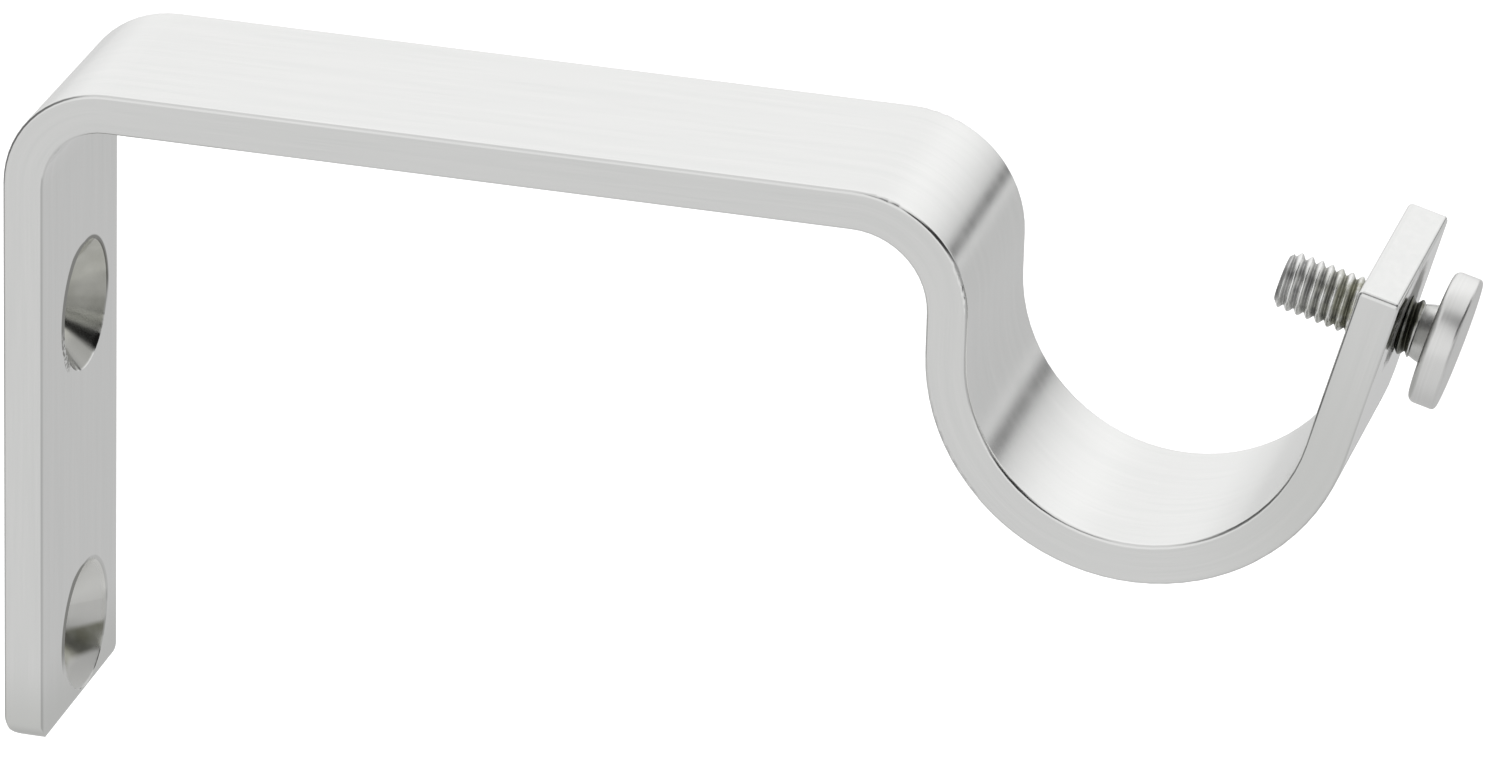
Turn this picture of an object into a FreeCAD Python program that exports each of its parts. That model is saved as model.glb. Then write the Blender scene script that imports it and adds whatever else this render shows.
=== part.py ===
"""Curtain pole bracket: one bent flat bar with an open pole cup, and the thumb screw in its lip.

X points away from the wall, Z points up, Y runs along the pole. The origin is on the wall face,
in the middle of the bar's width and at the height midway between the two fixing holes.
"""
import FreeCAD, Part
import math
import os
import Sketcher

V = FreeCAD.Vector

doc = FreeCAD.newDocument("CurtainPoleBracket")
sheet = doc.addObject("Spreadsheet::Sheet", "Dimensions")

# Every size in millimetres or degrees.
SIZES = [
    # The flat bar and its outline.
    ("bar_width", 20.0),
    ("bar_thickness", 3.5),
    ("leg_length", 60.0),
    ("wall_bend_radius", 5.5),
    ("drop_bend_radius", 6.5),
    ("cup_reach", 97.0),
    ("cup_below_arm", 13.5),
    ("cup_radius", 14.4),
    ("lip_lean", 15.0),
    ("lip_length", 14.7),
    # The two fixing holes in the leg.
    ("top_hole_below_arm", 24.0),
    ("low_hole_above_foot", 6.3),
    ("hole_offset", 1.5),
    ("hole_diameter", 5.0),
    ("countersink_diameter", 11.4),
    ("countersink_angle", 90.0),
    # The thumb screw and its hole.
    ("screw_below_tip", 6.0),
    ("stud_diameter", 4.9),
    ("stud_clearance", 0.05),
    ("stud_inside_lip", 7.0),
    ("stud_chamfer", 0.5),
    ("collar_gap", 1.2),
    ("collar_length", 1.3),
    ("collar_diameter", 5.2),
    ("head_diameter", 11.4),
    ("head_thickness", 2.4),
    ("head_rounding", 0.8),
    # Rounding of the bar's corners and edges.
    ("foot_corner", 2.0),
    ("foot_wall_edge", 2.2),
    ("foot_inner_edge", 0.6),
    ("tip_corner", 0.5),
    ("tip_edge", 0.5),
    ("bar_edge", 0.4),
]
size = dict(SIZES)
for row, (name, value) in enumerate(SIZES, start=1):
    sheet.set(f"A{row}", name)
    sheet.set(f"B{row}", str(value))
    sheet.setAlias(f"B{row}", name)
doc.recompute()


def origin_plane(body, role):
    """The named plane of a body's own origin."""
    return next(o for o in body.Origin.OriginFeatures if o.Role == role)


def new_sketch(body, name, role):
    """An empty sketch on one of the body's own origin planes."""
    sketch = body.newObject("Sketcher::SketchObject", name)
    sketch.AttachmentSupport = (origin_plane(body, role), [""])
    sketch.MapMode = "FlatFace"
    return sketch


def dimension(sketch, name, kind, arguments, value, expression):
    """A named driving dimension that follows the sheet."""
    number = sketch.addConstraint(Sketcher.Constraint(kind, *arguments, value))
    sketch.renameConstraint(number, name)
    sketch.setExpression(f"Constraints.{name}", expression)


def edges_where(shape, test):
    """The names of the edges whose mid point and ends pass a test."""
    return [f"Edge{n}" for n, edge in enumerate(shape.Edges, start=1) if test(edge)]


def middle(edge):
    """The point halfway along an edge."""
    return edge.valueAt((edge.FirstParameter + edge.LastParameter) / 2)


def along(edge, direction):
    """Whether an edge is straight and runs in a direction."""
    if not isinstance(edge.Curve, Part.Line):
        return False
    return edge.tangentAt(edge.FirstParameter).cross(direction).Length < 1e-6


def rounded(body, base, name, edges, radius):
    """A fillet on named edges of the feature before it."""
    fillet = body.newObject("PartDesign::Fillet", name)
    fillet.Base = (base, edges)
    fillet.Radius = size[radius]
    fillet.setExpression("Radius", f"Dimensions.{radius}")
    doc.recompute()
    return fillet


# Places that follow from the sizes.
thickness = size["bar_thickness"]
half_width = size["bar_width"] / 2
hole_spacing = size["leg_length"] - size["top_hole_below_arm"] - size["low_hole_above_foot"]
arm_top = size["top_hole_below_arm"] + hole_spacing / 2
foot = arm_top - size["leg_length"]
cup_x = size["cup_reach"]
cup_z = arm_top - size["cup_below_arm"]
cup_r = size["cup_radius"]
drop_x = cup_x - cup_r
wall_r = size["wall_bend_radius"]
drop_r = size["drop_bend_radius"]
wall_bend = V(thickness + wall_r, arm_top - thickness - wall_r, 0)
drop_bend = V(drop_x - thickness - drop_r, arm_top - thickness - drop_r, 0)
cup = V(cup_x, cup_z, 0)
lean = math.radians(size["lip_lean"])
rise = V(math.sin(lean), math.cos(lean), 0)
out = V(math.cos(lean), -math.sin(lean), 0)
SPACING = "(Dimensions.leg_length - Dimensions.top_hole_below_arm - Dimensions.low_hole_above_foot)"
ARM_TOP = f"(Dimensions.top_hole_below_arm + {SPACING} / 2)"
CUP_Z = f"({ARM_TOP} - Dimensions.cup_below_arm)"

# The bar: its outline seen from the side, then its width.
bracket = doc.addObject("PartDesign::Body", "bracket")
bracket.Label = "bracket"
doc.recompute()

outline = new_sketch(bracket, "BarOutline", "XZ_Plane")


def line(start, end):
    return outline.addGeometry(Part.LineSegment(start, end), False)


def arc(centre, radius, first, last):
    circle = Part.Circle(centre, V(0, 0, 1), radius)
    return outline.addGeometry(Part.ArcOfCircle(circle, math.radians(first), math.radians(last)), False)


lip_end = 360 - size["lip_lean"]
wall_face = line(V(0, foot, 0), V(0, wall_bend.y, 0))
wall_outer = arc(wall_bend, wall_r + thickness, 90, 180)
arm_face = line(V(wall_bend.x, arm_top, 0), V(drop_bend.x, arm_top, 0))
drop_outer = arc(drop_bend, drop_r + thickness, 0, 90)
drop_face = line(V(drop_x, drop_bend.y, 0), V(drop_x, cup_z, 0))
cup_inner = arc(cup, cup_r, 180, lip_end)
inner_root = cup + out * cup_r
outer_root = cup + out * (cup_r + thickness)
lip_face = line(inner_root, inner_root + rise * size["lip_length"])
tip = line(inner_root + rise * size["lip_length"], outer_root + rise * size["lip_length"])
lip_back = line(outer_root + rise * size["lip_length"], outer_root)
cup_outer = arc(cup, cup_r + thickness, 180, lip_end)
drop_back = line(V(drop_x - thickness, cup_z, 0), V(drop_x - thickness, drop_bend.y, 0))
drop_inner = arc(drop_bend, drop_r, 0, 90)
arm_back = line(V(drop_bend.x, arm_top - thickness, 0), V(wall_bend.x, arm_top - thickness, 0))
wall_inner = arc(wall_bend, wall_r, 90, 180)
leg_back = line(V(thickness, wall_bend.y, 0), V(thickness, foot, 0))
foot_end = line(V(thickness, foot, 0), V(0, foot, 0))

START, END, CENTRE = 1, 2, 3
for first, first_end, second, second_end in [
    (wall_face, END, wall_outer, END),
    (wall_outer, START, arm_face, START),
    (arm_face, END, drop_outer, END),
    (drop_outer, START, drop_face, START),
    (drop_face, END, cup_inner, START),
    (cup_inner, END, lip_face, START),
    (lip_back, END, cup_outer, END),
    (cup_outer, START, drop_back, START),
    (drop_back, END, drop_inner, START),
    (drop_inner, END, arm_back, START),
    (arm_back, END, wall_inner, START),
    (wall_inner, END, leg_back, START),
]:
    outline.addConstraint(Sketcher.Constraint("Tangent", first, first_end, second, second_end))
for first, first_end, second, second_end in [
    (lip_face, END, tip, START),
    (tip, END, lip_back, START),
    (leg_back, END, foot_end, START),
    (foot_end, END, wall_face, START),
    (wall_outer, CENTRE, wall_inner, CENTRE),
    (drop_outer, CENTRE, drop_inner, CENTRE),
    (cup_inner, CENTRE, cup_outer, CENTRE),
]:
    outline.addConstraint(Sketcher.Constraint("Coincident", first, first_end, second, second_end))
for upright in (wall_face, drop_face, drop_back, leg_back):
    outline.addConstraint(Sketcher.Constraint("Vertical", upright))
for level in (arm_face, arm_back, foot_end):
    outline.addConstraint(Sketcher.Constraint("Horizontal", level))
outline.addConstraint(Sketcher.Constraint("Parallel", lip_face, lip_back))
outline.addConstraint(Sketcher.Constraint("Perpendicular", lip_face, tip))
outline.addConstraint(Sketcher.Constraint("PointOnObject", wall_face, START, -2))
dimension(outline, "Thickness", "DistanceX", (wall_face, START, leg_back, END), thickness,
          "Dimensions.bar_thickness")
dimension(outline, "FootBelowOrigin", "DistanceY", (wall_face, START, -1, 1), -foot,
          f"Dimensions.leg_length - {ARM_TOP}")
dimension(outline, "ArmAboveOrigin", "DistanceY", (-1, 1, arm_face, START), arm_top, ARM_TOP)
dimension(outline, "WallBendRadius", "Radius", (wall_inner,), wall_r, "Dimensions.wall_bend_radius")
dimension(outline, "DropBendRadius", "Radius", (drop_inner,), drop_r, "Dimensions.drop_bend_radius")
dimension(outline, "CupReach", "DistanceX", (-1, 1, cup_inner, CENTRE), cup_x, "Dimensions.cup_reach")
dimension(outline, "CupHeight", "DistanceY", (-1, 1, cup_inner, CENTRE), cup_z, CUP_Z)
dimension(outline, "CupRadius", "Radius", (cup_inner,), cup_r, "Dimensions.cup_radius")
dimension(outline, "LipLength", "Distance", (lip_face,), size["lip_length"], "Dimensions.lip_length")
dimension(outline, "LipLean", "Angle", (-1, 1, lip_face, START), math.pi / 2 - lean,
          "90 deg - Dimensions.lip_lean * 1 deg")

bar = bracket.newObject("PartDesign::Pad", "Bar")
bar.Profile = outline
bar.SideType = "Symmetric"
bar.Length = size["bar_width"]
bar.setExpression("Length", "Dimensions.bar_width")
doc.recompute()

# The two fixing holes, countersunk on the side away from the wall.
hole_places = new_sketch(bracket, "FixingHolePlaces", "YZ_Plane")
hole_places.AttachmentOffset = FreeCAD.Placement(V(0, 0, thickness), FreeCAD.Rotation())
hole_places.setExpression("AttachmentOffset.Base.z", "Dimensions.bar_thickness")
half_spacing = hole_spacing / 2
for name, sign in (("TopHole", 1), ("LowHole", -1)):
    place = V(size["hole_offset"], sign * half_spacing, 0)
    circle = hole_places.addGeometry(Part.Circle(place, V(0, 0, 1), size["hole_diameter"] / 2), False)
    dimension(hole_places, f"{name}Across", "DistanceX", (-1, 1, circle, CENTRE), size["hole_offset"],
              "Dimensions.hole_offset")
    dimension(hole_places, f"{name}Diameter", "Diameter", (circle,), size["hole_diameter"],
              "Dimensions.hole_diameter")
    ends = (-1, 1, circle, CENTRE) if sign > 0 else (circle, CENTRE, -1, 1)
    dimension(hole_places, f"{name}Offset", "DistanceY", ends, half_spacing, f"{SPACING} / 2")
doc.recompute()

holes = bracket.newObject("PartDesign::Hole", "FixingHoles")
holes.Profile = hole_places
holes.DepthType = "ThroughAll"
holes.Diameter = size["hole_diameter"]
holes.HoleCutType = "Countersink"
holes.HoleCutCustomValues = True
holes.HoleCutDiameter = size["countersink_diameter"]
holes.HoleCutCountersinkAngle = size["countersink_angle"]
holes.setExpression("Diameter", "Dimensions.hole_diameter")
holes.setExpression("HoleCutDiameter", "Dimensions.countersink_diameter")
holes.setExpression("HoleCutCountersinkAngle", "Dimensions.countersink_angle")
doc.recompute()

# The hole in the lip that takes the thumb screw.
screw_rise = size["lip_length"] - size["screw_below_tip"]
lip_centre = cup + rise * screw_rise + out * (cup_r + thickness)
screw_place = FreeCAD.Placement(V(lip_centre.x, 0, lip_centre.y),
                                FreeCAD.Rotation(V(0, 1, 0), 90 + size["lip_lean"]))
SCREW_RISE = "(Dimensions.lip_length - Dimensions.screw_below_tip)"
OUTER_R = "(Dimensions.cup_radius + Dimensions.bar_thickness)"
LEAN = "(Dimensions.lip_lean * 1 deg)"
SCREW_X = f"Dimensions.cup_reach + {SCREW_RISE} * sin{LEAN} + {OUTER_R} * cos{LEAN}"
SCREW_Z = f"{CUP_Z} + {SCREW_RISE} * cos{LEAN} - {OUTER_R} * sin{LEAN}"

lip_hole_place = new_sketch(bracket, "LipHolePlace", "XY_Plane")
lip_hole_place.AttachmentOffset = screw_place
lip_hole_place.setExpression("AttachmentOffset.Base.x", SCREW_X)
lip_hole_place.setExpression("AttachmentOffset.Base.z", SCREW_Z)
lip_hole_place.setExpression("AttachmentOffset.Rotation.Angle", "90 deg + Dimensions.lip_lean * 1 deg")
lip_hole_radius = size["stud_diameter"] / 2 + size["stud_clearance"]
circle = lip_hole_place.addGeometry(Part.Circle(V(0, 0, 0), V(0, 0, 1), lip_hole_radius), False)
lip_hole_place.addConstraint(Sketcher.Constraint("Coincident", circle, CENTRE, -1, 1))
dimension(lip_hole_place, "Radius", "Radius", (circle,), lip_hole_radius,
          "Dimensions.stud_diameter / 2 + Dimensions.stud_clearance")
doc.recompute()

lip_hole = bracket.newObject("PartDesign::Pocket", "LipHole")
lip_hole.Profile = lip_hole_place
lip_hole.Length = 2 * thickness
lip_hole.setExpression("Length", "2 * Dimensions.bar_thickness")
doc.recompute()


# The bar's two ends: their cross edges, then their corners, then the long edges.
ACROSS = V(0, 1, 0)
RISE = V(rise.x, 0, rise.y)
OUT = V(out.x, 0, out.y)
TIP_CENTRE = V(inner_root.x, 0, inner_root.y) + RISE * size["lip_length"]


def cross_edge(x, z):
    """A test for the straight edge that runs across the bar at a place."""
    def test(edge):
        spot = middle(edge)
        return along(edge, ACROSS) and math.hypot(spot.x - x, spot.z - z) < 0.01
    return test


shape = lip_hole.Shape
foot_wall = rounded(bracket, lip_hole, "FootWallEdge", edges_where(shape, cross_edge(0, foot)), "foot_wall_edge")
shape = foot_wall.Shape
# The rounding stops just short of the low countersink, whose rim is this far above the foot.
COUNTERSINK_RIM = "(Dimensions.low_hole_above_foot - Dimensions.countersink_diameter / 2)"
foot_inner = rounded(bracket, foot_wall, "FootInnerEdge", edges_where(shape, cross_edge(thickness, foot)),
                     "foot_inner_edge")
foot_inner.setExpression("Radius", f"min(Dimensions.foot_inner_edge; 0.999 * {COUNTERSINK_RIM})")
doc.recompute()
far_tip = TIP_CENTRE + OUT * thickness
shape = foot_inner.Shape
tip_edges = rounded(bracket, foot_inner, "TipEdges",
                    edges_where(shape, cross_edge(TIP_CENTRE.x, TIP_CENTRE.z))
                    + edges_where(shape, cross_edge(far_tip.x, far_tip.z)), "tip_edge")


def on_side(edge):
    """Whether an edge lies in a side face of the bar."""
    places = [middle(edge).y] + [vertex.Y for vertex in edge.Vertexes]
    return max(abs(abs(y) - half_width) for y in places) < 1e-4


bar_edges = rounded(bracket, tip_edges, "BarEdges", edges_where(tip_edges.Shape, on_side), "bar_edge")


def corner_cut(name, centre, turn, radius):
    """Rounds both corners of one end. The sketch's x runs across the bar and its y out past the end."""
    sketch = new_sketch(bracket, f"{name}Places", "YZ_Plane")
    sketch.AttachmentOffset = FreeCAD.Placement(V(0, centre.z, centre.x), FreeCAD.Rotation(V(1, 0, 0), turn[0]))
    sketch.setExpression("AttachmentOffset.Base.y", turn[2])
    sketch.setExpression("AttachmentOffset.Base.z", turn[1])
    sketch.setExpression("AttachmentOffset.Rotation.Angle", turn[3])
    r = size[radius]
    for side, sign in (("Front", -1), ("Back", 1)):
        circle = Part.Circle(V(sign * (half_width - r), -r, 0), V(0, 0, 1), r)
        span = (0, math.pi / 2) if sign > 0 else (math.pi / 2, math.pi)
        curve = sketch.addGeometry(Part.ArcOfCircle(circle, *span), False)
        corner = V(sign * half_width, 0, 0)
        side_line = sketch.addGeometry(Part.LineSegment(corner - V(0, r, 0), corner), False)
        end_line = sketch.addGeometry(Part.LineSegment(corner, corner - V(sign * r, 0, 0)), False)
        low, high = (START, END) if sign > 0 else (END, START)
        sketch.addConstraint(Sketcher.Constraint("Coincident", curve, low, side_line, START))
        sketch.addConstraint(Sketcher.Constraint("Coincident", side_line, END, end_line, START))
        sketch.addConstraint(Sketcher.Constraint("Coincident", end_line, END, curve, high))
        sketch.addConstraint(Sketcher.Constraint("Vertical", side_line))
        sketch.addConstraint(Sketcher.Constraint("PointOnObject", end_line, START, -1))
        sketch.addConstraint(Sketcher.Constraint("Horizontal", end_line))
        sketch.addConstraint(Sketcher.Constraint("Horizontal", curve, CENTRE, side_line, START))
        sketch.addConstraint(Sketcher.Constraint("Vertical", curve, CENTRE, end_line, END))
        dimension(sketch, f"{side}Radius", "Radius", (curve,), r, f"Dimensions.{radius}")
        ends = (-1, 1, end_line, START) if sign > 0 else (end_line, START, -1, 1)
        dimension(sketch, f"{side}Side", "DistanceX", ends, half_width, "Dimensions.bar_width / 2")
    doc.recompute()
    cut = bracket.newObject("PartDesign::Pocket", name)
    cut.Profile = sketch
    cut.Length = 2 * thickness
    cut.setExpression("Length", "2 * Dimensions.bar_thickness")
    doc.recompute()
    return cut


FAR_TIP_X = f"Dimensions.cup_reach + Dimensions.lip_length * sin{LEAN} + {OUTER_R} * cos{LEAN}"
FAR_TIP_Z = f"{CUP_Z} + Dimensions.lip_length * cos{LEAN} - {OUTER_R} * sin{LEAN}"
foot_turn = (180, "0 mm", f"{ARM_TOP} - Dimensions.leg_length", "180 deg")
tip_turn = (size["lip_lean"], FAR_TIP_X, FAR_TIP_Z, "Dimensions.lip_lean * 1 deg")
foot_corners = corner_cut("FootCorners", V(0, 0, foot), foot_turn, "foot_corner")
tip_corners = corner_cut("TipCorners", far_tip, tip_turn, "tip_corner")

# The thumb screw, turned in one piece. Its own Z runs out of the lip, from the lip's outer face.
screw = doc.addObject("PartDesign::Body", "thumb_screw")
screw.Label = "thumb_screw"
screw.Placement = screw_place
screw.setExpression("Placement.Base.x", SCREW_X)
screw.setExpression("Placement.Base.z", SCREW_Z)
screw.setExpression("Placement.Rotation.Angle", "90 deg + Dimensions.lip_lean * 1 deg")
doc.recompute()

stud_r = size["stud_diameter"] / 2
collar_r = size["collar_diameter"] / 2
head_r = size["head_diameter"] / 2
stud_end = -(thickness + size["stud_inside_lip"])
collar_low = size["collar_gap"]
head_low = collar_low + size["collar_length"]
head_top = head_low + size["head_thickness"]
profile_points = [
    V(0, stud_end, 0),
    V(stud_r, stud_end, 0),
    V(stud_r, collar_low, 0),
    V(collar_r, collar_low, 0),
    V(collar_r, head_low, 0),
    V(head_r, head_low, 0),
    V(head_r, head_top, 0),
    V(0, head_top, 0),
]
profile = new_sketch(screw, "ScrewProfile", "XZ_Plane")
count = len(profile_points)
sides = [profile.addGeometry(Part.LineSegment(profile_points[n], profile_points[(n + 1) % count]), False)
         for n in range(count)]
for n in range(count):
    profile.addConstraint(Sketcher.Constraint("Coincident", sides[n], END, sides[(n + 1) % count], START))
    level = "Horizontal" if n % 2 == 0 else "Vertical"
    profile.addConstraint(Sketcher.Constraint(level, sides[n]))
profile.addConstraint(Sketcher.Constraint("PointOnObject", sides[0], START, -2))
STUD_LENGTH = "Dimensions.bar_thickness + Dimensions.stud_inside_lip"
dimension(profile, "StudEnd", "DistanceY", (sides[0], START, -1, 1), -stud_end, STUD_LENGTH)
dimension(profile, "StudRadius", "DistanceX", (-1, 1, sides[0], END), stud_r, "Dimensions.stud_diameter / 2")
dimension(profile, "CollarGap", "DistanceY", (-1, 1, sides[2], START), collar_low, "Dimensions.collar_gap")
dimension(profile, "CollarRadius", "DistanceX", (-1, 1, sides[2], END), collar_r,
          "Dimensions.collar_diameter / 2")
dimension(profile, "CollarLength", "Distance", (sides[3],), size["collar_length"], "Dimensions.collar_length")
dimension(profile, "HeadRadius", "DistanceX", (-1, 1, sides[4], END), head_r, "Dimensions.head_diameter / 2")
dimension(profile, "HeadThickness", "Distance", (sides[5],), size["head_thickness"], "Dimensions.head_thickness")
doc.recompute()

turned = screw.newObject("PartDesign::Revolution", "TurnedScrew")
turned.Profile = profile
turned.ReferenceAxis = (profile, ["V_Axis"])
turned.Angle = 360.0
doc.recompute()


def ring(radius, height):
    """A test for the round edge at a radius and a height on the screw's own axis."""
    def test(edge):
        curve = edge.Curve
        if not isinstance(curve, Part.Circle):
            return False
        return abs(curve.Radius - radius) < 1e-4 and abs(curve.Center.z - height) < 1e-4
    return test


stud_rim = edges_where(turned.Shape, ring(stud_r, stud_end))
stud_chamfer = screw.newObject("PartDesign::Chamfer", "StudChamfer")
stud_chamfer.Base = (turned, stud_rim)
stud_chamfer.Size = size["stud_chamfer"]
stud_chamfer.setExpression("Size", "Dimensions.stud_chamfer")
doc.recompute()
head_rims = (edges_where(stud_chamfer.Shape, ring(head_r, head_low))
             + edges_where(stud_chamfer.Shape, ring(head_r, head_top)))
head_edges = rounded(screw, stud_chamfer, "HeadEdges", head_rims, "head_rounding")

doc.recompute()
for item in doc.Objects:
    bad = [word for word in item.State if word in ("Invalid", "Error")]
    if bad:
        raise RuntimeError(f"{item.Name} is {bad}")

os.makedirs("parts", exist_ok=True)
for body in (bracket, screw):
    shape = body.Shape
    if shape.isNull() or not shape.isValid() or len(shape.Solids) != 1:
        raise RuntimeError(f"{body.Label} isn't one sound solid")
    shape.exportStep(f"parts/{body.Label}.step")
    print(body.Label, round(shape.Volume, 1), shape.BoundBox)
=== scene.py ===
import math

import bmesh
import bpy
from mathutils import Matrix, Vector


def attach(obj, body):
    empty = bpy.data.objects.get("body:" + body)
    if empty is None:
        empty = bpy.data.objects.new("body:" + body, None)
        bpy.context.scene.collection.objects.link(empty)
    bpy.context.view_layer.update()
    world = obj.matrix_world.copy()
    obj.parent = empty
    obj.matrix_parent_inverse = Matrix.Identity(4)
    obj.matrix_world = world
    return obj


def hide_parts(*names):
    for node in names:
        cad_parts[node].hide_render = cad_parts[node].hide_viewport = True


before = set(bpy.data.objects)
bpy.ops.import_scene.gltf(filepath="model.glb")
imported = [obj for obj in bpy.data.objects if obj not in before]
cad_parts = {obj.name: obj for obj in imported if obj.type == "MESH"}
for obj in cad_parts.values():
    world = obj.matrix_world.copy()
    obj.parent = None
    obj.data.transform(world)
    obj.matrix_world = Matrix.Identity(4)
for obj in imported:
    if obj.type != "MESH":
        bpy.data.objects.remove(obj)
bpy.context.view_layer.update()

# Places from the part, in metres.
LEAN = math.radians(15)
LIP_OUT = Vector((math.cos(LEAN), 0, -math.sin(LEAN)))
LIP_RISE = Vector((math.sin(LEAN), 0, math.cos(LEAN)))
CUP = Vector((0.097, 0, 0.02535))
CUP_RADIUS = 0.0144
THICKNESS = 0.0035
WALL_BEND = Vector((0.009, 0, 0.02985))
DROP_BEND = Vector((0.0726, 0, 0.02885))
HOLE_OFFSET = 0.0015
HOLE_HEIGHT = 0.01485
SINK_RADIUS = 0.0057
SCREW_RISE = 0.0087
SCREW_CENTRE = CUP + LIP_RISE * SCREW_RISE + LIP_OUT * (CUP_RADIUS + THICKNESS)

# The thumb screw on its own Z, which runs out of the lip from the lip's outer face, in metres.
SCREW_TURN = Matrix.Translation(SCREW_CENTRE) @ Matrix.Rotation(math.pi / 2 + LEAN, 4, "Y")
STUD_END = -0.0105
COLLAR = 0.0012
HEAD_LOW = 0.0025
HEAD_TOP = 0.0049
HEAD_RADIUS = 0.00565
COLLAR_RADIUS = 0.0026
PITCH = 0.00088
THREAD_START = 0.0001
CREST = 0.00245
ROOT = 0.00202

# The photograph's viewpoint: a long lens, with its place in metres and its three axes.
LENS = 243.56
SENSOR = 36
CAMERA_PLACE = Vector((0.255418, -0.748011, 0.350173))
CAMERA_RIGHT = Vector((0.964866, 0.261397, 0.026561))
CAMERA_UP = Vector((-0.127211, 0.376309, 0.917719))
CAMERA_BACK = Vector((0.229894, -0.888855, 0.396340))

# Levels of the studio that metal mirrors.
SKY = 0.92
FLOOR_AHEAD = 0.74
FLOOR_BEHIND = 0.60
FLOOR_RIGHT = 0.50
FLOOR_LEFT = 0.75
HORIZON_LEVEL = 0.12
# The height of the dark line behind the object, as the z of a direction.
HORIZON = 0.040
# Direction, outer and inner half angle in degrees, and level of each part of the studio that stands out.
PANELS = [
    ((-0.1, 0.75, 0.66), 45, 12, 1.12),
    ((-0.23, 0.885, 0.41), 24, 8, 1.02),
    ((-0.2, -0.25, 0.95), 40, 10, 0.78),
    ((0.62, -0.52, 0.58), 27, 17, 0.02),
    ((0.17, -0.46, 0.87), 14, 7, 0.20),
    ((0.88, 0.10, 0.42), 30, 18, 0.02),
    ((0.97, -0.12, 0.0), 26, 13, 0.42),
    ((-0.88, -0.18, 0.42), 36, 16, 0.22),
]
LEFT_WALL = ((-0.97, 0.0, 0.06), 34, 20, 0.15)

# The floor that the object stands over, in metres and in levels.
FLOOR_DROP = 0.3
FLOOR_HALF = 6
FLOOR_COLOUR = (0.8, 0.8, 0.8, 1.0)
FLOOR_GLOW = 0.7
WHITE = (1.0, 1.0, 1.0, 1.0)

scene = bpy.context.scene
scene.view_settings.view_transform = "Standard"


def aim_camera():
    """The photograph's viewpoint, a little to the right of the front and above."""
    data = bpy.data.cameras.new("camera")
    data.sensor_width = SENSOR
    data.lens = LENS
    camera = bpy.data.objects.new("camera", data)
    scene.collection.objects.link(camera)
    turn = Matrix((CAMERA_RIGHT, CAMERA_UP, CAMERA_BACK)).transposed().to_4x4()
    camera.matrix_world = Matrix.Translation(CAMERA_PLACE) @ turn
    scene.camera = camera


class Nodes:
    """A short way to add and link nodes in one tree."""

    def __init__(self, tree):
        self.tree = tree
        tree.nodes.clear()

    def add(self, kind, **settings):
        node = self.tree.nodes.new(kind)
        for name, value in settings.items():
            setattr(node, name, value)
        return node

    def feed(self, socket, value):
        if isinstance(value, bpy.types.NodeSocket):
            self.tree.links.new(value, socket)
        elif value is not None:
            socket.default_value = value

    def math(self, operation, a, b=None, c=None, clamp=False):
        node = self.add("ShaderNodeMath", operation=operation, use_clamp=clamp)
        for socket, value in zip(node.inputs, (a, b, c)):
            self.feed(socket, value)
        return node.outputs[0]

    def times(self, a, b):
        return self.math("MULTIPLY", a, b)

    def minus(self, a, b, clamp=False):
        return self.math("SUBTRACT", a, b, clamp=clamp)

    def off(self, a, b):
        """How far a is from b, either way."""
        return self.math("ABSOLUTE", self.minus(a, b))

    def length(self, a, b):
        return self.math("SQRT", self.math("MULTIPLY_ADD", a, a, self.times(b, b)))

    def remap(self, value, low, high, to_low=0.0, to_high=1.0, smooth=False):
        node = self.add("ShaderNodeMapRange", interpolation_type="SMOOTHSTEP" if smooth else "LINEAR")
        for socket, item in zip(node.inputs, (value, low, high, to_low, to_high)):
            self.feed(socket, item)
        return node.outputs[0]

    def ease(self, value, low, high, to_low=0.0, to_high=1.0):
        return self.remap(value, low, high, to_low, to_high, smooth=True)

    def noise(self, vector, scale, detail=2.0, roughness=0.5):
        node = self.add("ShaderNodeTexNoise")
        self.feed(node.inputs["Vector"], vector)
        self.feed(node.inputs["Scale"], scale)
        self.feed(node.inputs["Detail"], detail)
        self.feed(node.inputs["Roughness"], roughness)
        return node.outputs["Fac"]

    def combine(self, x, y, z):
        node = self.add("ShaderNodeCombineXYZ")
        for socket, value in zip(node.inputs, (x, y, z)):
            self.feed(socket, value)
        return node.outputs[0]

    def split(self, vector):
        node = self.add("ShaderNodeSeparateXYZ")
        self.feed(node.inputs[0], vector)
        return node.outputs

    def pick(self, share, low, high):
        """low where share is 0, high where it is 1."""
        return self.math("MULTIPLY_ADD", self.minus(high, low), share, low)

    def mix_colour(self, share, low, high):
        node = self.add("ShaderNodeMix", data_type="RGBA")
        self.feed(node.inputs[0], share)
        for socket, value in zip(node.inputs[6:8], (low, high)):
            self.feed(socket, value if isinstance(value, bpy.types.NodeSocket) else (*value, 1.0))
        return node.outputs[2]


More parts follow.
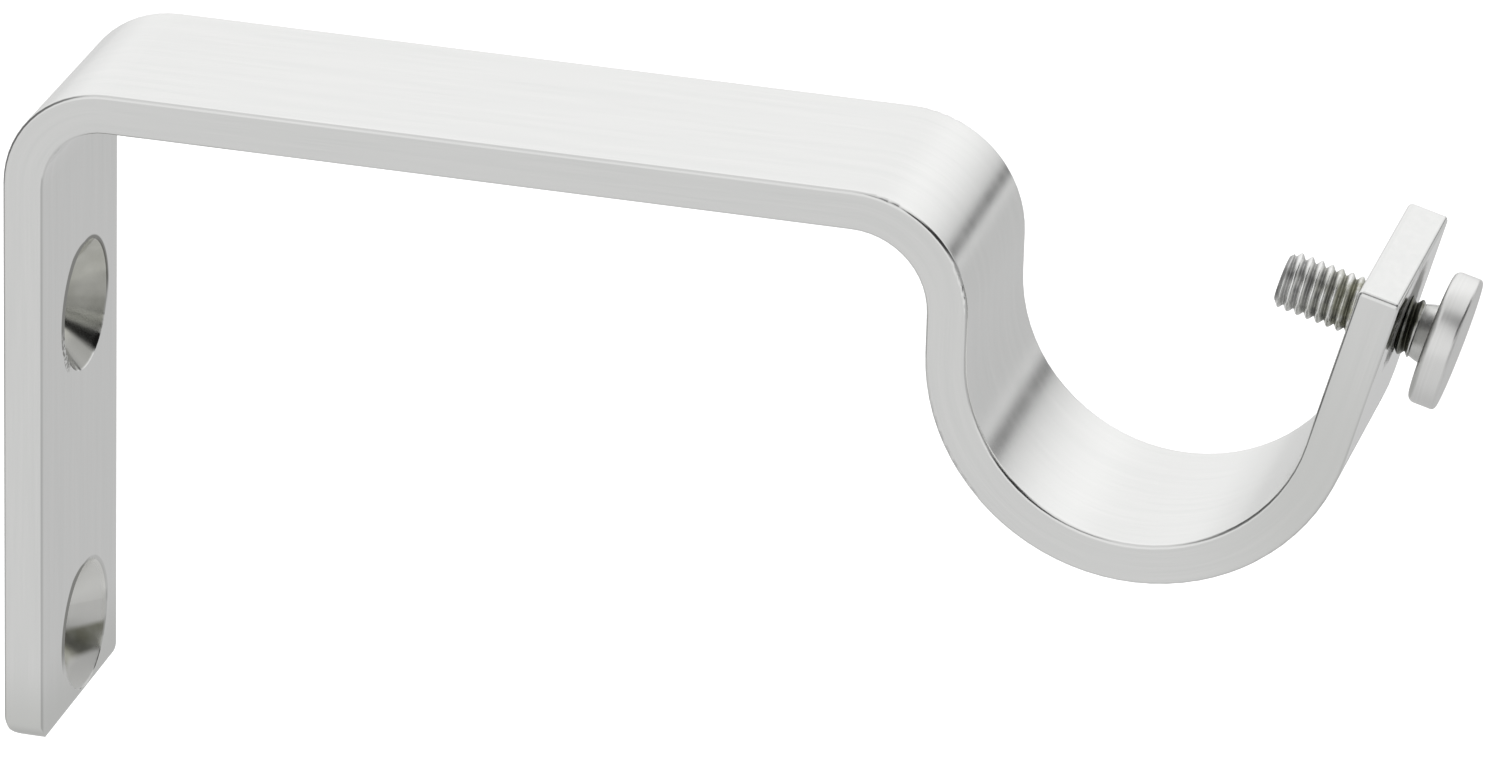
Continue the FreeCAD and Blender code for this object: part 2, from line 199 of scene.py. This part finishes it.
def light_world():
    """A pale studio round the object. Metal mirrors its panels, its floor and the darker gaps."""
    world = bpy.data.worlds.new("studio")
    world.use_nodes = True
    scene.world = world
    nodes = Nodes(world.node_tree)
    direction = nodes.add("ShaderNodeTexCoord").outputs["Generated"]
    side, depth, height = nodes.split(direction)

    def mix(value, other, share):
        node = nodes.add("ShaderNodeMix", data_type="FLOAT")
        nodes.feed(node.inputs[0], share)
        nodes.feed(node.inputs[2], value)
        nodes.feed(node.inputs[3], other)
        return node.outputs[0]

    def patch(value, towards, edge, core, level):
        dot = nodes.add("ShaderNodeVectorMath", operation="DOT_PRODUCT")
        nodes.feed(dot.inputs[0], direction)
        dot.inputs[1].default_value = Vector(towards).normalized()
        outer, inner = math.cos(math.radians(edge)), math.cos(math.radians(core))
        return mix(value, level, nodes.ease(dot.outputs["Value"], outer, inner))

    level = SKY
    for towards, edge, core, strength in PANELS:
        level = patch(level, towards, edge, core, strength)

    floor = nodes.ease(depth, 0.3, -0.7, FLOOR_BEHIND, FLOOR_AHEAD)
    right = nodes.times(nodes.ease(side, 0.55, 0.85), nodes.ease(depth, 0.5, 0.1))
    right = nodes.times(right, nodes.ease(height, -0.62, -0.5))
    floor = mix(floor, FLOOR_RIGHT, right)
    left = nodes.times(nodes.ease(side, -0.24, -0.36), nodes.ease(depth, 0.5, 0.75))
    floor = mix(floor, FLOOR_LEFT, left)
    level = mix(level, floor, nodes.ease(height, 0.0, -0.13))
    level = patch(level, *LEFT_WALL)

    # The dark line at the horizon has a soft flank above it and fades out to the left.
    line = nodes.ease(nodes.off(height, HORIZON), 0.08, 0.02)
    flank = nodes.times(nodes.ease(height, 0.32, 0.04, 0.0, 0.27), nodes.remap(height, 0.0, 0.04))
    line = nodes.math("MAXIMUM", line, flank)
    line = nodes.times(line, nodes.ease(side, -0.1, 0.25))
    level = mix(level, HORIZON_LEVEL, nodes.times(line, nodes.ease(depth, 0.3, 0.7)))

    path = nodes.add("ShaderNodeLightPath")
    shade = nodes.add("ShaderNodeBackground")
    nodes.feed(shade.inputs["Color"], WHITE)
    nodes.feed(shade.inputs["Strength"], mix(level, 1.0, path.outputs["Is Camera Ray"]))
    output = nodes.add("ShaderNodeOutputWorld")
    nodes.feed(output.inputs["Surface"], shade.outputs[0])


def lay_floor():
    """A pale floor that takes the object's shade. It isn't mirrored, and is clear from below."""
    corners = [(x, y, 0) for x, y in ((-1, -1), (1, -1), (1, 1), (-1, 1))]
    mesh = bpy.data.meshes.new("floor")
    mesh.from_pydata([Vector(corner) * FLOOR_HALF for corner in corners], [], [(0, 1, 2, 3)])
    floor = bpy.data.objects.new("floor", mesh)
    floor.location = (0, 0, -FLOOR_DROP)
    scene.collection.objects.link(floor)
    floor.visible_glossy = False
    material = bpy.data.materials.new("pale_floor")
    material.use_nodes = True
    nodes = Nodes(material.node_tree)
    path = nodes.add("ShaderNodeLightPath")
    diffuse = nodes.add("ShaderNodeBsdfDiffuse")
    nodes.feed(diffuse.inputs["Color"], FLOOR_COLOUR)
    underneath = nodes.add("ShaderNodeNewGeometry").outputs["Backfacing"]
    glow = nodes.add("ShaderNodeEmission")
    nodes.feed(glow.inputs["Color"], WHITE)
    nodes.feed(glow.inputs["Strength"], nodes.times(path.outputs["Is Camera Ray"], FLOOR_GLOW))
    both = nodes.add("ShaderNodeAddShader")
    nodes.feed(both.inputs[0], diffuse.outputs[0])
    nodes.feed(both.inputs[1], glow.outputs[0])
    one_sided = nodes.add("ShaderNodeMixShader")
    nodes.feed(one_sided.inputs[0], underneath)
    nodes.feed(one_sided.inputs[1], both.outputs[0])
    nodes.feed(one_sided.inputs[2], nodes.add("ShaderNodeBsdfTransparent").outputs[0])
    output = nodes.add("ShaderNodeOutputMaterial")
    nodes.feed(output.inputs["Surface"], one_sided.outputs[0])
    mesh.materials.append(material)


def unroll(nodes, place):
    """Where a point lies on the flat strip before it was bent, in millimetres.

    Gives its place along, across and into the strip, and its height up the lip.
    """
    x, across, z = [nodes.times(output, 1000.0) for output in nodes.split(place)]
    middle = THICKNESS * 1000 / 2
    leg_top, arm_start = WALL_BEND.z * 1000, WALL_BEND.x * 1000
    arm_end, drop_top = DROP_BEND.x * 1000, DROP_BEND.z * 1000
    cup_x, cup_z = CUP.x * 1000, CUP.z * 1000
    top = leg_top + arm_start
    inner = CUP_RADIUS * 1000
    drop_radius = top - drop_top

    # How far along the strip each stretch starts, from the top of the leg.
    arm_from = math.pi / 2 * (arm_start - middle)
    drop_from = arm_from + arm_end - arm_start
    fall_from = drop_from + math.pi / 2 * (drop_radius - middle)
    cup_from = fall_from + drop_top - cup_z
    lip_from = cup_from + (math.pi - LEAN) * (inner + middle)

    def turned(dx, dz, radius, start):
        """Along and into a bend whose outer side is at the radius, from where dz / dx is 0."""
        angle = nodes.math("ARCTAN2", dz, dx)
        return (nodes.math("MULTIPLY_ADD", angle, radius - middle, start),
                nodes.minus(radius, nodes.length(dx, dz)))

    def over(value, limit):
        return nodes.math("GREATER_THAN", value, limit)

    def past_arm_below(limit):
        return nodes.times(over(x, arm_end), nodes.math("LESS_THAN", z, limit))

    bend = turned(nodes.minus(arm_start, x), nodes.minus(z, leg_top), arm_start, 0.0)
    arm = nodes.math("ADD", x, arm_from - arm_start), nodes.minus(top, z)
    drop = turned(nodes.minus(z, drop_top), nodes.minus(x, arm_end), drop_radius, drop_from)
    fall = nodes.minus(fall_from + drop_top, z), nodes.minus(arm_end + drop_radius, x)

    cup_out, cup_up = nodes.minus(x, cup_x), nodes.minus(z, cup_z)
    away, down = nodes.times(cup_out, -1.0), nodes.times(cup_up, -1.0)
    round_cup = nodes.math("MULTIPLY_ADD", nodes.math("ARCTAN2", down, away), inner + middle, cup_from)
    cup = round_cup, nodes.minus(nodes.length(away, down), inner)

    lip_up = nodes.math("MULTIPLY_ADD", cup_out, LIP_RISE.x, nodes.times(cup_up, LIP_RISE.z))
    lip_out = nodes.math("MULTIPLY_ADD", cup_out, LIP_OUT.x, nodes.times(cup_up, LIP_OUT.z))
    lip = nodes.math("ADD", lip_up, lip_from), nodes.minus(lip_out, inner)

    along, into = nodes.minus(z, leg_top), x
    for share, (next_along, next_into) in [
        (over(z, leg_top), bend),
        (over(x, arm_start), arm),
        (over(x, arm_end), drop),
        (past_arm_below(drop_top), fall),
        (past_arm_below(cup_z), cup),
        (nodes.times(over(x, cup_x), over(lip_up, 0.0)), lip),
    ]:
        along, into = nodes.pick(share, along, next_along), nodes.pick(share, into, next_into)
    return along, across, into, nodes.times(lip_up, over(x, cup_x))


def hole_marks(nodes, place):
    """Masks round the two fixing holes.

    They are the insides of the countersinks, their rims with painted shade along the top and dark
    speckles painted for burrs at the lower left, painted shade in their lower parts, the whole of the
    lower hole, which is painted paler, and a painted dark reflection band with painted light below it there.
    """
    x, y, z = nodes.split(place)
    side = nodes.minus(y, HOLE_OFFSET)
    height = nodes.minus(nodes.math("ABSOLUTE", z), HOLE_HEIGHT)
    upward = nodes.math("SIGN", z)
    rise = nodes.times(height, upward)
    reach = nodes.length(side, height)
    lower_hole = nodes.math("LESS_THAN", z, 0.0)

    # The cone alone, so that the marks don't reach through to the wall face.
    on_face = nodes.math("COMPARE", x, THICKNESS, 0.0001)
    below_face = nodes.math("LESS_THAN", x, THICKNESS - 0.00003)
    inside = nodes.times(nodes.remap(reach, SINK_RADIUS, SINK_RADIUS - 0.00015), below_face)
    on_cone = nodes.math("GREATER_THAN", nodes.minus(x, reach), THICKNESS - SINK_RADIUS - 0.00015)
    inside = nodes.times(inside, on_cone)

    # The rim's painted shade lies along its top and is wider on its left, with dark speckles painted for
    # burrs at the lower left, and it is faint at the right of the lower hole.
    wide = nodes.remap(side, -0.0005, -0.0035, 0.0, 0.00028)
    from_rim = nodes.off(nodes.minus(reach, SINK_RADIUS + 0.00005), wide)
    ring = nodes.remap(nodes.minus(from_rim, wide), 0.00026, 0.00012)
    upper = nodes.ease(rise, -0.0025, 0.0005)
    burr_shade = nodes.remap(nodes.noise(place, 2600.0, 1.0), 0.42, 0.56)
    burr_shade = nodes.times(nodes.times(burr_shade, nodes.remap(side, -0.002, -0.0035)), upward)
    burr_shade = nodes.times(burr_shade, nodes.remap(rise, -0.0045, -0.0038))
    soft = nodes.times(lower_hole, nodes.remap(side, -0.0008, 0.0012, 0.0, 0.75))
    upper = nodes.minus(upper, soft, clamp=True)
    rim = nodes.times(nodes.times(ring, nodes.math("MAXIMUM", upper, burr_shade)), on_face)

    # Painted shade low in each countersink.
    low = nodes.ease(rise, -0.0028, -0.0042)
    in_lower = nodes.times(lower_hole, inside)
    # A painted dark reflection band across the lower countersink.
    painted_dark_band = nodes.times(nodes.ease(nodes.off(rise, -0.0030), 0.0013, 0.0007), in_lower)
    # Painted light on the stretch below the dark band in the lower hole.
    pale = nodes.times(nodes.ease(rise, -0.0037, -0.0045), in_lower)
    return inside, rim, low, lower_hole, painted_dark_band, pale


def screw_shade_patch(nodes, place, across, lip_up, outside, cloud):
    """A mottled dark patch painted on the lip's outer face round the screw: painted shade of the head and a
    painted reflection of the dark thread.
    """
    up = nodes.minus(lip_up, SCREW_RISE * 1000)
    up = nodes.math("MAXIMUM", up, nodes.times(up, -1.8))
    from_screw = nodes.length(nodes.times(across, 0.92), up)
    mottle = nodes.math("MULTIPLY_ADD", nodes.noise(place, 1100.0, 3.0, 0.65), 2.5, cloud)
    painted_screw_shade = nodes.times(outside, nodes.ease(nodes.math("ADD", mottle, from_screw), 8.0, 5.7))
    return nodes.times(painted_screw_shade, 0.62)


def finish_metal(nodes, colour, roughness, height, distance, metallic=1.0):
    bump = nodes.add("ShaderNodeBump")
    nodes.feed(bump.inputs["Strength"], 1.0)
    nodes.feed(bump.inputs["Distance"], distance)
    nodes.feed(bump.inputs["Height"], height)
    shader = nodes.add("ShaderNodeBsdfPrincipled")
    nodes.feed(shader.inputs["Base Color"], colour)
    nodes.feed(shader.inputs["Metallic"], metallic)
    nodes.feed(shader.inputs["Roughness"], roughness)
    nodes.feed(shader.inputs["Normal"], bump.outputs[0])
    output = nodes.add("ShaderNodeOutputMaterial")
    nodes.feed(output.inputs["Surface"], shader.outputs[0])


def bar_material():
    """Satin plated steel with fine scratches along the strip, and duller steel in the countersinks."""
    material = bpy.data.materials.new("bar_steel_satin")
    material.use_nodes = True
    nodes = Nodes(material.node_tree)
    place = nodes.add("ShaderNodeTexCoord").outputs["Object"]
    along, across, into, lip_up = unroll(nodes, place)

    def stretched(by_along, by_across, by_into):
        """The strip's own place, squeezed differently each way."""
        return nodes.combine(nodes.times(along, by_along), nodes.times(across, by_across),
                             nodes.times(into, by_into))

    fine = nodes.noise(stretched(0.12, 9.0, 9.0), 1.0, 3.0, 0.6)
    broad = nodes.noise(stretched(0.05, 0.9, 1.6), 1.0, 2.0, 0.5)
    cloud = nodes.noise(place, 260.0, 3.0, 0.55)
    tone = nodes.math("ADD", nodes.remap(fine, 0.3, 0.7, -0.5, 0.5), nodes.remap(broad, 0.3, 0.7, -0.5, 0.5))
    inside, rim, low, lower_hole, painted_dark_band, pale = hole_marks(nodes, place)

    # The plain strip, a little darker at the lip's root, and with painted shade towards the foot.
    share = nodes.math("MULTIPLY_ADD", tone, 0.5, 0.5, clamp=True)
    plain = nodes.mix_colour(share, (0.775, 0.78, 0.77), (0.83, 0.83, 0.82))
    lip_root = nodes.ease(nodes.off(along, 136.0), 17.0, 2.0)
    foot = nodes.ease(along, -43.0, -50.0)
    root_dark_and_foot_shade = nodes.math("MAXIMUM", nodes.times(lip_root, 0.45), nodes.times(foot, 0.8))
    plain = nodes.mix_colour(root_dark_and_foot_shade, plain, (0.66, 0.665, 0.645))

    # The countersinks in duller steel, with painted shade in their lower parts; the lower one is painted
    # paler, as if strong light fell in it, with a painted dark reflection band across it.
    sink_steel_and_painted_light = nodes.mix_colour(nodes.remap(cloud, 0.35, 0.65), (0.50, 0.50, 0.45), (0.62, 0.62, 0.57))
    sink_steel_and_painted_light = nodes.mix_colour(low, sink_steel_and_painted_light, (0.37, 0.37, 0.35))
    # The lower countersink painted paler, as if strong light fell in it.
    sink_steel_and_painted_light = nodes.mix_colour(nodes.times(lower_hole, 0.8), sink_steel_and_painted_light, (0.88, 0.88, 0.86))
    band_share = nodes.times(painted_dark_band, nodes.remap(cloud, 0.35, 0.6, 0.5, 0.9))
    sink_steel_and_painted_light = nodes.mix_colour(band_share, sink_steel_and_painted_light, (0.24, 0.24, 0.18))
    colour = nodes.mix_colour(inside, plain, sink_steel_and_painted_light)
    # Painted shade along the holes' upper rims, with dark speckles painted for burrs.
    colour = nodes.mix_colour(nodes.times(rim, 0.85), colour, (0.10, 0.10, 0.08))

    # The lip's outer face is smoother than the rest.
    rough = nodes.math("MULTIPLY_ADD", tone, 0.02, nodes.remap(cloud, 0.3, 0.7, 0.185, 0.215))
    rough = nodes.pick(inside, rough, nodes.math("MULTIPLY_ADD", lower_hole, 0.16, 0.16))
    outside = nodes.remap(into, THICKNESS * 1000 - 0.4, THICKNESS * 1000 - 0.1)
    rough = nodes.pick(nodes.times(outside, nodes.ease(lip_up, -5.0, 1.0)), rough, 0.06)

    # Painted shade and painted dark reflection round the screw on the lip's outer face.
    painted_screw_shade = screw_shade_patch(nodes, place, across, lip_up, outside, cloud)
    screw_shade_colour = nodes.mix_colour(nodes.remap(cloud, 0.4, 0.6), (0.05, 0.05, 0.04), (0.16, 0.16, 0.12))
    colour = nodes.mix_colour(painted_screw_shade, colour, screw_shade_colour)
    # Where the painted shade round the screw and the painted light low in the lower hole lie, the steel is
    # rough and barely metallic.
    rough = nodes.pick(nodes.math("MAXIMUM", painted_screw_shade, pale), rough, 0.6)
    metallic = nodes.minus(nodes.minus(1.0, painted_screw_shade), nodes.times(pale, 0.8), clamp=True)
    height = nodes.math("MULTIPLY_ADD", broad, 0.5, fine)
    finish_metal(nodes, colour, rough, height, 0.0000015, metallic)
    return material


def screw_material():
    """Turned and plated steel: bright on the crests and the head, with painted shade in the grooves that
    deepens near the lip.
    """
    material = bpy.data.materials.new("screw_steel_turned")
    material.use_nodes = True
    nodes = Nodes(material.node_tree)
    place = nodes.add("ShaderNodeTexCoord").outputs["Object"]
    x, y, height = nodes.split(place)
    reach = nodes.length(x, y)
    cloud = nodes.noise(place, 900.0, 3.0, 0.6)
    rings = nodes.noise(nodes.combine(nodes.times(reach, 9000.0), 0.0, nodes.times(height, 9000.0)),
                        1.0, 2.0, 0.5)
    deep = nodes.ease(reach, CREST - 0.00008, ROOT)
    threaded = nodes.math("LESS_THAN", height, COLLAR)
    near_lip = nodes.ease(height, -0.0095, -0.0035)
    patchy = nodes.remap(cloud, 0.38, 0.62)

    # Painted shade in the thread's grooves, and on the crests too near the lip, where the lip and head shade
    # the stud.
    groove_light_shade = nodes.mix_colour(patchy, (0.30, 0.30, 0.30), (0.62, 0.62, 0.61))
    groove_deep_shade = nodes.mix_colour(patchy, (0.09, 0.09, 0.06), (0.30, 0.30, 0.22))
    dark = nodes.mix_colour(near_lip, groove_light_shade, groove_deep_shade)
    crest = nodes.mix_colour(nodes.times(near_lip, patchy), (0.84, 0.84, 0.83), (0.46, 0.46, 0.38))
    shade = nodes.mix_colour(nodes.remap(rings, 0.3, 0.7), (0.76, 0.76, 0.75), (0.82, 0.82, 0.81))
    colour = nodes.mix_colour(threaded, shade, crest)
    colour = nodes.mix_colour(nodes.times(deep, threaded), colour, dark)

    # Painted shadow on the short stretch of thread between the lip and the collar.
    gap_shade = nodes.math("GREATER_THAN", height, -0.0002)
    gap_shade = nodes.times(gap_shade, nodes.remap(height, 0.0013, 0.0010))
    colour = nodes.mix_colour(nodes.times(gap_shade, 0.8), colour, (0.05, 0.05, 0.04))

    head = nodes.remap(height, 0.0022, 0.0028, 0.20, 0.30)
    turned = nodes.math("ADD", nodes.remap(rings, 0.3, 0.7, 0.0, 0.05), head)
    rough = nodes.pick(threaded, turned, nodes.remap(deep, 0.0, 1.0, 0.24, 0.45))
    finish_metal(nodes, colour, rough, rings, 0.000001)
    return material


def piece_from(name, bm, material):
    """An object from a finished bmesh, with one material."""
    mesh = bpy.data.meshes.new(name)
    bmesh.ops.recalc_face_normals(bm, faces=bm.faces)
    bm.to_mesh(mesh)
    bm.free()
    mesh.materials.append(material)
    piece = bpy.data.objects.new(name, mesh)
    scene.collection.objects.link(piece)
    return piece


def lathe(name, profile, segments, material):
    """A turned piece from (radius, height) pairs about its own Z."""
    bm = bmesh.new()
    rings = []
    for radius, height in profile:
        if radius < 1e-9:
            rings.append([bm.verts.new((0, 0, height))])
            continue
        angles = [2 * math.pi * k / segments for k in range(segments)]
        rings.append([bm.verts.new((radius * math.cos(a), radius * math.sin(a), height)) for a in angles])
    for low, high in zip(rings, rings[1:]):
        for k in range(segments):
            nxt = (k + 1) % segments
            corners = [low[k % len(low)], low[nxt % len(low)], high[nxt % len(high)], high[k % len(high)]]
            face = bm.faces.new(list(dict.fromkeys(corners)))
            face.smooth = True
    return piece_from(name, bm, material)


def arc_points(radius, height, rounding, first, last, steps=8):
    """Points on a quarter round in a turned profile, angles in degrees."""
    angles = [math.radians(first + (last - first) * k / steps) for k in range(steps + 1)]
    return [(radius + rounding * math.cos(a), height + rounding * math.sin(a)) for a in angles]


def thread_radius(height, angle):
    """The stud's surface: a right-handed thread that runs out in a chamfer at its end."""
    end_depth = 0.0006
    end_slope = 1.2
    phase = ((height - THREAD_START) / PITCH - angle / (2 * math.pi)) % 1.0
    rise = 0.5 - 0.5 * math.cos(2 * math.pi * phase)
    radius = ROOT + (CREST - ROOT) * rise ** 0.8
    return min(radius, CREST - end_depth + (height - STUD_END) * end_slope)


def make_stud(material):
    around = 72
    rows = 210
    into_collar = 0.0001
    bm = bmesh.new()
    rings = []
    for row in range(rows + 1):
        height = STUD_END + (COLLAR + into_collar - STUD_END) * row / rows
        ring = []
        for k in range(around):
            angle = 2 * math.pi * k / around
            radius = thread_radius(height, angle)
            ring.append(bm.verts.new((radius * math.cos(angle), radius * math.sin(angle), height)))
        rings.append(ring)
    for low, high in zip(rings, rings[1:]):
        for k in range(around):
            nxt = (k + 1) % around
            bm.faces.new((low[k], low[nxt], high[nxt], high[k])).smooth = True
    end = bm.verts.new((0, 0, STUD_END))
    for k in range(around):
        bm.faces.new((end, rings[0][(k + 1) % around], rings[0][k]))
    return piece_from("screw_stud", bm, material)


def make_head(material):
    """The collar, which widens a little towards the head, and the flat round head."""
    collar_start = 0.0021
    collar_rounding = 0.00015
    inner_rounding = 0.0006
    outer_rounding = 0.00035
    profile = [(0, COLLAR), (collar_start, COLLAR)]
    profile += arc_points(collar_start, COLLAR + collar_rounding, collar_rounding, -90, 0, 4)
    profile += [(0.0024, COLLAR + 0.0006), (0.00255, HEAD_LOW - 0.0001), (COLLAR_RADIUS, HEAD_LOW)]
    profile += arc_points(HEAD_RADIUS - inner_rounding, HEAD_LOW + inner_rounding, inner_rounding, -90, 0)
    profile += arc_points(HEAD_RADIUS - outer_rounding, HEAD_TOP - outer_rounding, outer_rounding, 0, 90)
    profile += [(0, HEAD_TOP)]
    return lathe("screw_head", profile, 96, material)


def make_screw(material):
    stud = make_stud(material)
    head = make_head(material)
    for piece in (stud, head):
        piece.matrix_world = SCREW_TURN
        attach(piece, "thumb_screw")
    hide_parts("thumb_screw")


aim_camera()
light_world()
lay_floor()
bar_steel = bar_material()
screw_steel = screw_material()
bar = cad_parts["bracket"]
for slot in bar.material_slots:
    slot.material = bar_steel
make_screw(screw_steel)
